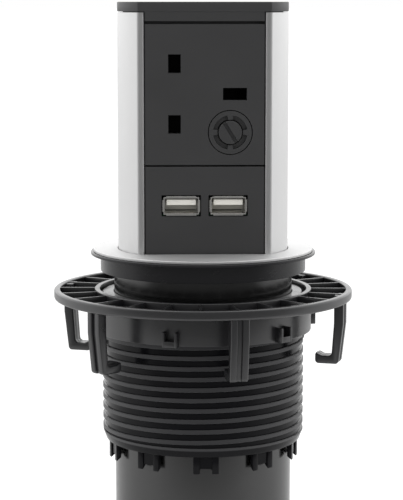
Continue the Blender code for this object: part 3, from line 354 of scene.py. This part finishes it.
SLOT_OF = {entry["node"]: entry["material_slot"] for entry in frame["record"]["subparts"]}
BODY_OF = {node: body for body, nodes in frame["record"]["behaviour"]["bodies"].items() for node in nodes}


def finish_of(node):
    """Finish of a CAD node: its own where it has one, and otherwise its slot's."""
    return OWN_FINISHES.get(node) or FINISHES[SLOT_OF[node]]


def add_piece(name, mesh, node):
    """A finished piece that stands for a CAD node, with that node's finish and body."""
    piece = bpy.data.objects.new(name, mesh)
    bpy.context.scene.collection.objects.link(piece)
    mesh.materials.clear()
    mesh.materials.append(finish_of(node))
    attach(piece, BODY_OF[node])
    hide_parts(node)
    return piece


def shade(mesh):
    """Smooth shading that stops at sharp edges."""
    mesh.shade_smooth()
    mesh.set_sharp_from_angle(angle=SHARP)


def softened(node, width, segments=3, share_of=None):
    """Copy of a CAD node with its triangles merged to faces and its edges eased.

    share_of, where given, takes an edge's two ends and returns its share of the width."""
    bm = bmesh.new()
    bm.from_mesh(NODES[node].data)
    bmesh.ops.remove_doubles(bm, verts=bm.verts, dist=WELD)
    bmesh.ops.dissolve_limit(bm, angle_limit=FLAT, verts=bm.verts, edges=bm.edges)
    if share_of is not None:
        shares = bm.edges.layers.float.new("bevel_weight_edge")
        for edge in bm.edges:
            if edge.is_manifold and edge.calc_face_angle() > SHARP:
                edge[shares] = share_of(edge.verts[0].co, edge.verts[1].co)
    mesh = bpy.data.meshes.new(node + "_fine")
    bm.to_mesh(mesh)
    bm.free()
    shade(mesh)
    piece = add_piece(node + "_fine", mesh, node)
    bevel = piece.modifiers.new("eased_edges", "BEVEL")
    bevel.width = width
    bevel.segments = segments
    bevel.limit_method = "ANGLE" if share_of is None else "WEIGHT"
    bevel.angle_limit = SHARP
    bevel.harden_normals = True
    return piece


# Turned and threaded pieces

def eased_profile(corners, reach, steps=3):
    """Closed profile with each corner eased into a short curve; a corner may name its own reach."""
    points = []
    for k, corner in enumerate(corners):
        before = Vector(corners[k - 1][:2])
        here = Vector(corner[:2])
        after = Vector(corners[(k + 1) % len(corners)][:2])
        wanted = corner[2] if len(corner) > 2 else reach
        size = min(wanted, (before - here).length * 0.48, (after - here).length * 0.48)
        start = here + (before - here).normalized() * size
        end = here + (after - here).normalized() * size
        for j in range(steps + 1):
            share = j / steps
            points.append(start.lerp(here, share).lerp(here.lerp(end, share), share))
    return points


def spun_into(bm, profile, steps=128):
    """Adds a turned solid: a closed profile of (radius, height) spun about Z."""
    verts = [bm.verts.new((radius, 0, height)) for radius, height in profile]
    edges = [bm.edges.new((verts[k - 1], verts[k])) for k in range(len(verts))]
    bmesh.ops.spin(bm, geom=verts + edges, cent=(0, 0, 0), axis=(0, 0, 1), angle=math.tau, steps=steps,
                   use_merge=True)


def finished(bm, name, node):
    """Turns a bmesh into the piece that stands for a CAD node."""
    bmesh.ops.recalc_face_normals(bm, faces=bm.faces)
    mesh = bpy.data.meshes.new(name)
    bm.to_mesh(mesh)
    bm.free()
    shade(mesh)
    return add_piece(name, mesh, node)


def bevelled(bm, edges, width, segments):
    """Eases the given edges and returns the faces that this makes."""
    rounded = bmesh.ops.bevel(bm, geom=edges, offset=width, segments=segments, profile=0.5,
                              affect="EDGES", material=-1)
    return rounded["faces"]


def corners_of(faces):
    """Vertices of some faces, each once."""
    return list({vert for face in faces for vert in face.verts})


def bevelled_block(bm, low, high, width, segments=2):
    """Adds one box with its edges eased, and returns its vertices."""
    size = Vector(high) - Vector(low)
    place = Matrix.Translation((Vector(high) + Vector(low)) / 2) @ Matrix.Diagonal((*size, 1))
    verts = bmesh.ops.create_cube(bm, size=1, matrix=place)["verts"]
    edges = list({edge for vert in verts for edge in vert.link_edges})
    return corners_of(bevelled(bm, edges, width, segments))


def turned_about_axis(bm, verts, turn):
    """Turns vertices about Z."""
    bmesh.ops.rotate(bm, verts=verts, cent=(0, 0, 0), matrix=Matrix.Rotation(turn, 3, "Z"))


def slab_into(bm, outline, left, right, width, segments=2):
    """Adds a slab with a (radius, height) outline, standing at the front, with its edges eased."""
    near = [bm.verts.new((left, -radius, height)) for radius, height in outline]
    far = [bm.verts.new((right, -radius, height)) for radius, height in outline]
    sides = [bm.faces.new(near), bm.faces.new(far[::-1])]
    for k in range(len(outline)):
        sides.append(bm.faces.new((near[k], near[k - 1], far[k - 1], far[k])))
    bmesh.ops.recalc_face_normals(bm, faces=sides)
    edges = list({edge for side in sides for edge in side.edges if edge.calc_face_angle() > SHARP})
    rounded = bevelled(bm, edges, width, segments)
    return corners_of([side for side in sides if side.is_valid] + rounded)


# Threaded sleeve

ROOT_R = CREST_R - 0.8 * MM
THREAD_PITCH = 3.925 * MM
CREST_WIDTH = 1.3 * MM
FLANK_WIDTH = 0.35 * MM
SLEEVE_BORE = 34.3 * MM
SLEEVE_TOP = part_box("threaded_sleeve")[1].z
PRONG_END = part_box("threaded_sleeve")[0].z
PRONG_LENGTH = 6.5 * MM
SLEEVE_BOTTOM = PRONG_END + PRONG_LENGTH
SLEEVE_RIM = 3.6 * MM
FRONT_CREST_Z = 109.5 * MM
THREAD_STEPS = 96
FLANK_POINTS = 6
PRONG_PAIRS = 10
PRONG_GAP = 4.6 * MM
PRONG_WIDTH = 2.4 * MM
PRONG_OUT = 36.4 * MM
PRONG_SLANT = 1.4 * MM
PRONG_INNER = SLEEVE_BORE + 0.3 * MM
WEB_HALF_WIDTH = PRONG_GAP / 2 + PRONG_WIDTH / 2
WEB_THICKNESS = 1.3 * MM
WEB_INNER = PRONG_INNER + 0.1 * MM
WEB_OUT = PRONG_INNER + WEB_THICKNESS
WEB_LOW = SLEEVE_BOTTOM - PRONG_LENGTH * 0.7
WEB_TOP = SLEEVE_BOTTOM + 0.3 * MM
RIM_TAPER = 1.3 * MM
RIM_EASING = 0.3 * MM
THREAD_SINK = 0.3 * MM


def ridge_radius(share):
    """Radius of the thread at a share of one pitch, from the middle of a crest."""
    away = (min(share, 1 - share) * THREAD_PITCH - CREST_WIDTH / 2) / FLANK_WIDTH
    fall = max(0.0, min(1.0, away))
    return CREST_R - (CREST_R - ROOT_R) * fall * fall * (3 - 2 * fall)


def thread_into(bm, low, high):
    """Adds the threaded wall between two heights, closed on the sleeve's bore."""
    half_ridge = (CREST_WIDTH / 2 + FLANK_WIDTH) / THREAD_PITCH
    rise = [half_ridge * k / FLANK_POINTS for k in range(FLANK_POINTS + 1)]
    shares = rise + [1 - share for share in reversed(rise)]
    turns = math.ceil((high - low) / THREAD_PITCH) + 3
    below = math.ceil((FRONT_CREST_Z - low) / THREAD_PITCH) + 1
    start = FRONT_CREST_Z - CREST_WIDTH / 2 - below * THREAD_PITCH
    verts = [bm.verts.new((0, -ridge_radius(share), start + share * THREAD_PITCH)) for share in shares]
    edges = [bm.edges.new(pair) for pair in zip(verts, verts[1:])]
    bmesh.ops.spin(bm, geom=verts + edges, cent=(0, 0, 0), axis=(0, 0, 1), angle=math.tau * turns,
                   dvec=(0, 0, THREAD_PITCH / THREAD_STEPS), steps=THREAD_STEPS * turns)
    bmesh.ops.remove_doubles(bm, verts=bm.verts, dist=WELD)
    for level, side in ((low, -1), (high, 1)):
        bmesh.ops.bisect_plane(bm, geom=bm.verts[:] + bm.edges[:] + bm.faces[:], dist=WELD / 10,
                               plane_co=(0, 0, level), plane_no=(0, 0, side), clear_outer=True)
    circle = bmesh.ops.create_circle(bm, cap_ends=False, radius=SLEEVE_BORE, segments=THREAD_STEPS)["verts"]
    bmesh.ops.translate(bm, verts=circle, vec=(0, 0, low))
    ring = list({edge for vert in circle for edge in vert.link_edges})
    wall = bmesh.ops.extrude_edge_only(bm, edges=ring)["geom"]
    bmesh.ops.translate(bm, verts=[item for item in wall if isinstance(item, bmesh.types.BMVert)],
                        vec=(0, 0, high - low))
    for level in (low, high):
        rim = [edge for edge in bm.edges
               if edge.is_boundary and all(abs(vert.co.z - level) < WELD for vert in edge.verts)]
        bmesh.ops.triangle_fill(bm, use_beauty=True, edges=rim, normal=(0, 0, 1))


def make_sleeve():
    """Threaded sleeve with its plain rim, and pairs of prongs joined by a web below it."""
    bm = bmesh.new()
    rim_top = SLEEVE_BOTTOM + SLEEVE_RIM
    rim = [(SLEEVE_BORE, rim_top), (CREST_R, rim_top), (CREST_R - RIM_TAPER, SLEEVE_BOTTOM),
           (SLEEVE_BORE, SLEEVE_BOTTOM)]
    thread_into(bm, rim_top - THREAD_SINK, SLEEVE_TOP)
    spun_into(bm, eased_profile(rim, RIM_EASING))
    for k in range(PRONG_PAIRS):
        turn = math.tau * k / PRONG_PAIRS
        for side in (-1, 1):
            near = side * PRONG_GAP / 2
            far = side * (PRONG_GAP / 2 + PRONG_WIDTH)
            prong = bevelled_block(bm, (min(near, far), -PRONG_OUT, PRONG_END),
                                   (max(near, far), -PRONG_INNER, SLEEVE_BOTTOM + OVERLAP),
                                   SMALL_EASING)
            for vert in prong:
                if vert.co.z < SLEEVE_BOTTOM - PRONG_LENGTH / 2:
                    vert.co.z += PRONG_SLANT * (vert.co.y + PRONG_OUT) / (PRONG_OUT - PRONG_INNER)
            turned_about_axis(bm, prong, turn)
        web = bevelled_block(bm, (-WEB_HALF_WIDTH, -WEB_OUT, WEB_LOW), (WEB_HALF_WIDTH, -WEB_INNER, WEB_TOP),
                             SMALL_EASING / 2, 1)
        turned_about_axis(bm, web, turn)
    return finished(bm, "threaded_sleeve_fine", "threaded_sleeve")


make_sleeve()


# Clamp nut

NUT_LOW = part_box("clamp_nut")[0].z
NUT_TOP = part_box("clamp_nut")[1].z
NUT_BOTTOM = NUT_TOP - 15.8 * MM
RIM_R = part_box("clamp_nut")[1].x
RIM_INNER = RIM_R - 2.3 * MM
RIM_LOW = NUT_TOP - 3.7 * MM
RIM_STEPS = 192
RIM_CORNER_STEPS = 5
RIM_INNER_EASING = 0.5 * MM
RIM_TOP_EASING = 0.9 * MM
RIM_LOW_EASING = 1.3 * MM
FLOOR_TOP = RIM_LOW + 1.2 * MM
FLOOR_LOW = RIM_LOW + 0.05 * MM
COLLAR_R = RIM_R - 15.5 * MM
COLLAR_EASING = 0.35 * MM
NUT_BORE = CREST_R + 0.3 * MM
BORE_RELIEF = 0.7 * MM
LAND_TOP = NUT_BOTTOM + 6.0 * MM
RIB_COUNT = 24
RIB_THICKNESS = 1.0 * MM
RIB_DEPTH = 3.1 * MM
RIB_TOP = NUT_TOP - 0.3 * MM
HOOK_COUNT = 6
HOOK_START = math.radians(12.2)
HOOK_HALF = 3.4 * MM
GROOVE_HALF = 0.9 * MM
GROOVE_DEPTH = 0.9 * MM
RAIL_EASING = 0.5 * MM
GROOVE_FLOOR_HALF = GROOVE_HALF + RAIL_EASING + 0.3 * MM
HOOK_R = RIM_R - 1.4 * MM
LEG_INNER_R = HOOK_R - 3.6 * MM
LEG_LOW_INNER_R = LEG_INNER_R - 0.8 * MM
LEG_LOW_R = LEG_LOW_INNER_R + 2.7 * MM
TOE_R = LEG_LOW_INNER_R - 6.3 * MM
HOOK_BEND = RIM_LOW - (RIM_LOW - NUT_LOW) / 3
TOE_TOP = NUT_LOW + 3.0 * MM
CORNER = 0.8 * MM
HOOK_TOP = NUT_TOP - 0.6 * MM
LUG_R = COLLAR_R + 3.0 * MM
LUG_HALF = 2.8 * MM
LUG_TOP = NUT_BOTTOM + 5.5 * MM
LUG_FLOOR = NUT_BOTTOM + 2.2 * MM
LUG_POCKET_HALF = 1.8 * MM
LUG_BASE_HALF = LUG_HALF - 0.3 * MM
LUG_BASE_R = LUG_R - 0.05 * MM


def leg_outline(cut):
    """Side view of a hook, with its outer face set back by a cut."""
    outer_face = [(HOOK_R - cut, HOOK_TOP), (HOOK_R - cut, HOOK_BEND), (LEG_LOW_R - cut, NUT_LOW + CORNER)]
    underside = [(LEG_LOW_R - CORNER - cut, NUT_LOW), (TOE_R + CORNER, NUT_LOW), (TOE_R, NUT_LOW + CORNER)]
    toe = [(TOE_R, TOE_TOP + CORNER), (TOE_R + CORNER, TOE_TOP + CORNER), (TOE_R + 3 * CORNER, TOE_TOP)]
    inner_face = [(LEG_LOW_INNER_R - CORNER, TOE_TOP), (LEG_LOW_INNER_R, TOE_TOP + CORNER),
                  (LEG_INNER_R, HOOK_BEND), (LEG_INNER_R, HOOK_TOP)]
    return outer_face + underside + toe + inner_face


def hook_into(bm, turn):
    """Adds one hook: two rails, and the web between them that makes the groove's floor."""
    for left, right in ((-HOOK_HALF, -GROOVE_HALF), (GROOVE_HALF, HOOK_HALF)):
        turned_about_axis(bm, slab_into(bm, leg_outline(0.0), left, right, RAIL_EASING, 3), turn)
    web = slab_into(bm, leg_outline(GROOVE_DEPTH), -GROOVE_FLOOR_HALF, GROOVE_FLOOR_HALF,
                    SMALL_EASING / 2)
    turned_about_axis(bm, web, turn)


def lug_into(bm, turn):
    """Adds one lug: a U whose recess is open to the front and the top."""
    inner = COLLAR_R - OVERLAP
    for side in (-1, 1):
        near = side * LUG_POCKET_HALF
        far = side * LUG_HALF
        wall = bevelled_block(bm, (min(near, far), -LUG_R, NUT_BOTTOM),
                              (max(near, far), -inner, LUG_TOP), SMALL_EASING)
        turned_about_axis(bm, wall, turn)
    base = bevelled_block(bm, (-LUG_BASE_HALF, -LUG_BASE_R, NUT_BOTTOM),
                          (LUG_BASE_HALF, -inner, LUG_FLOOR), SMALL_EASING)
    turned_about_axis(bm, base, turn)


def make_nut():
    """Clamp nut: collar, rounded rim, floor and ribs between them, hooks and lugs."""
    bm = bmesh.new()
    collar = [(NUT_BORE + BORE_RELIEF, NUT_TOP), (COLLAR_R, NUT_TOP), (COLLAR_R, NUT_BOTTOM),
              (NUT_BORE, NUT_BOTTOM), (NUT_BORE, LAND_TOP), (NUT_BORE + BORE_RELIEF, LAND_TOP + BORE_RELIEF)]
    rim = [(RIM_INNER, NUT_TOP, RIM_INNER_EASING), (RIM_R, NUT_TOP, RIM_TOP_EASING),
           (RIM_R, RIM_LOW, RIM_LOW_EASING), (RIM_INNER, RIM_LOW)]
    floor_inner = COLLAR_R - OVERLAP
    floor_outer = RIM_INNER + OVERLAP
    floor = [(floor_inner, FLOOR_TOP), (floor_outer, FLOOR_TOP), (floor_outer, FLOOR_LOW),
             (floor_inner, FLOOR_LOW)]
    spun_into(bm, eased_profile(collar, COLLAR_EASING))
    spun_into(bm, eased_profile(rim, RIM_EASING, RIM_CORNER_STEPS), RIM_STEPS)
    spun_into(bm, floor)
    for k in range(RIB_COUNT):
        rib = bevelled_block(bm, (-RIB_THICKNESS / 2, -floor_outer, RIB_TOP - RIB_DEPTH),
                             (RIB_THICKNESS / 2, -floor_inner, RIB_TOP), SMALL_EASING)
        turned_about_axis(bm, rib, HOOK_START + math.tau * k / RIB_COUNT)
    for k in range(HOOK_COUNT):
        hook_into(bm, HOOK_START + math.tau * k / HOOK_COUNT)
        lug_into(bm, HOOK_START + math.tau * (k + 0.5) / HOOK_COUNT)
    return finished(bm, "clamp_nut_fine", "clamp_nut")


make_nut()


# Shell and the other eased pieces

LIP_SHARE = 1.0
CUT_END_SHARE = 0.12
OTHER_SHARE = 0.2


def lip_share(start, end):
    """Share of the shell's easing: the lips' long edges are round, and its cut ends are nearly sharp."""
    if abs(start.z - end.z) < MM:
        return CUT_END_SHARE
    on_face = abs(start.y - SHELL_FACE_Y) < 0.1 * MM
    return LIP_SHARE if on_face else OTHER_SHARE


softened("tower_shell", 0.8 * MM, 4, lip_share)

EASED = {
    "top_cap": 0.12 * MM,
    "socket_plate": 0.28 * MM,
    "usb_plate": 0.15 * MM,
    "trim_ring": 0.25 * MM,
    "collar": 0.25 * MM,
    "fuse_holder": 0.2 * MM,
    "fuse_carrier": 0.12 * MM,
    "end_cap": 0.3 * MM,
    "housing_tube": 0.2 * MM,
    "usb_can_left": 0.08 * MM,
    "usb_can_right": 0.08 * MM,
    "usb_insulator_left": 0.08 * MM,
    "usb_insulator_right": 0.08 * MM,
}

for name, item in NODES.items():
    item.data.materials.clear()
    item.data.materials.append(finish_of(name))

DRESSED = {name: softened(name, width) for name, width in EASED.items()}

# The trim ring rests on the collar's lip, so its underside closes the gap that the solids keep
RING_UNDERSIDE = TRIM_TOP - 0.6 * MM
RING_GAP = 0.28 * MM
for vert in DRESSED["trim_ring"].data.vertices:
    if vert.co.z < RING_UNDERSIDE:
        vert.co.z -= RING_GAP


# Floor, light and camera

FRONT_LEVEL = 0.28
SIDE_LEVEL = 1.15
BACK_GAIN = 1.5
OVERHEAD_GAIN = 1.4
CLOTH_LEVEL = 0.2
CLOTH_END_Y = -0.40
PAPER_START_Y = -0.10
PAPER_LEVEL = 0.92
PAPER_LIFT = 0.25
PLAIN_LEVEL = 1.0
FLOOR_REACH = 60.0

# Where the reflected studio changes, in a direction's Y or Z
FRONT_TO_SIDE = (-0.75, 0.0)
SIDE_TO_BACK = (0.1, 0.8)
SIDE_TO_TOP = (0.5, 0.85)


def stepped(tree, value, start, end, low, high):
    """Smooth step from one level to another."""
    node = tree.nodes.new("ShaderNodeMapRange")
    node.interpolation_type = "SMOOTHSTEP"
    node.inputs["From Min"].default_value = start
    node.inputs["From Max"].default_value = end
    node.inputs["To Min"].default_value = low
    node.inputs["To Max"].default_value = high
    tree.links.new(value, node.inputs["Value"])
    return node.outputs[0]


def make_floor():
    """Pale floor that keeps the shadow and melts into the white background.

    Reflections find it dark well in front of the object, as if the camera's black cloth lay there."""
    bm = bmesh.new()
    bmesh.ops.create_grid(bm, x_segments=1, y_segments=1, size=FLOOR_REACH,
                          matrix=Matrix.Translation((0, 0, FOOT_Z)))
    mesh = bpy.data.meshes.new("floor")
    bm.to_mesh(mesh)
    bm.free()
    floor = bpy.data.objects.new("floor", mesh)
    bpy.context.scene.collection.objects.link(floor)
    made = bpy.data.materials.new("floor_paper")
    made.use_nodes = True
    tree = made.node_tree
    shader = tree.nodes["Principled BSDF"]
    shader.inputs["Roughness"].default_value = 0.9
    shader.inputs["Specular IOR Level"].default_value = 0.0
    lift = tree.nodes.new("ShaderNodeEmission")
    path = tree.nodes.new("ShaderNodeLightPath")
    brightness = number(tree, "MULTIPLY", path.outputs["Is Camera Ray"], PAPER_LIFT)
    tree.links.new(brightness, lift.inputs["Strength"])
    place = tree.nodes.new("ShaderNodeTexCoord")
    parts = separated(tree, place.outputs["Object"])
    cloth = stepped(tree, parts["Y"], CLOTH_END_Y, PAPER_START_Y, CLOTH_LEVEL, PAPER_LEVEL)
    plain = number(tree, "SUBTRACT", 1.0, path.outputs["Is Glossy Ray"])
    seen = number(tree, "MULTIPLY", plain, PAPER_LEVEL)
    tone = tree.nodes.new("ShaderNodeCombineColor")
    for channel in tone.inputs:
        tree.links.new(number(tree, "MAXIMUM", cloth, seen), channel)
    tree.links.new(tone.outputs[0], shader.inputs["Base Color"])
    both = tree.nodes.new("ShaderNodeAddShader")
    tree.links.new(shader.outputs[0], both.inputs[0])
    tree.links.new(lift.outputs[0], both.inputs[1])
    tree.links.new(both.outputs[0], tree.nodes["Material Output"].inputs["Surface"])
    mesh.materials.append(made)


def make_world():
    """White studio: plain soft light on matt surfaces.

    Gloss finds the dim space about the camera, bright sides and back, and a lamp box overhead."""
    world = bpy.data.worlds.new("studio")
    bpy.context.scene.world = world
    world.use_nodes = True
    tree = world.node_tree
    background = tree.nodes["Background"]
    background.inputs["Color"].default_value = (1, 1, 1, 1)
    place = tree.nodes.new("ShaderNodeTexCoord")
    parts = separated(tree, place.outputs["Generated"])
    sides = stepped(tree, parts["Y"], *FRONT_TO_SIDE, FRONT_LEVEL, SIDE_LEVEL)
    above = stepped(tree, parts["Z"], *SIDE_TO_TOP, 1.0, OVERHEAD_GAIN)
    behind = stepped(tree, parts["Y"], *SIDE_TO_BACK, 1.0, BACK_GAIN)
    level = number(tree, "MULTIPLY", number(tree, "MULTIPLY", sides, above), behind)
    path = tree.nodes.new("ShaderNodeLightPath")
    seen = path.outputs["Is Camera Ray"]
    mirrored = path.outputs["Is Glossy Ray"]
    diffuse = number(tree, "SUBTRACT", 1.0, number(tree, "ADD", seen, mirrored))
    soft = number(tree, "ADD", seen, number(tree, "MULTIPLY", diffuse, PLAIN_LEVEL))
    strength = number(tree, "ADD", number(tree, "MULTIPLY", level, mirrored), soft)
    tree.links.new(strength, background.inputs["Strength"])


def make_camera():
    """Camera at the photograph's place: level with the tower's top, looking down a little."""
    distance = 0.701
    turn = math.radians(-1.8)
    aim = turn + math.radians(0.0465)
    height = 0.238
    tilt = math.radians(7.66)
    view = bpy.data.cameras.new("camera")
    view.sensor_fit = "AUTO"
    view.sensor_width = 36.0
    view.lens = 133.2
    view.clip_start = 0.01
    camera = bpy.data.objects.new("camera", view)
    camera.location = (distance * math.sin(turn), -distance * math.cos(turn), height)
    camera.rotation_euler = (math.pi / 2 - tilt, 0, aim)
    bpy.context.scene.collection.objects.link(camera)
    bpy.context.scene.camera = camera


make_floor()
make_world()
make_camera()
bpy.context.scene.view_settings.view_transform = "Standard"
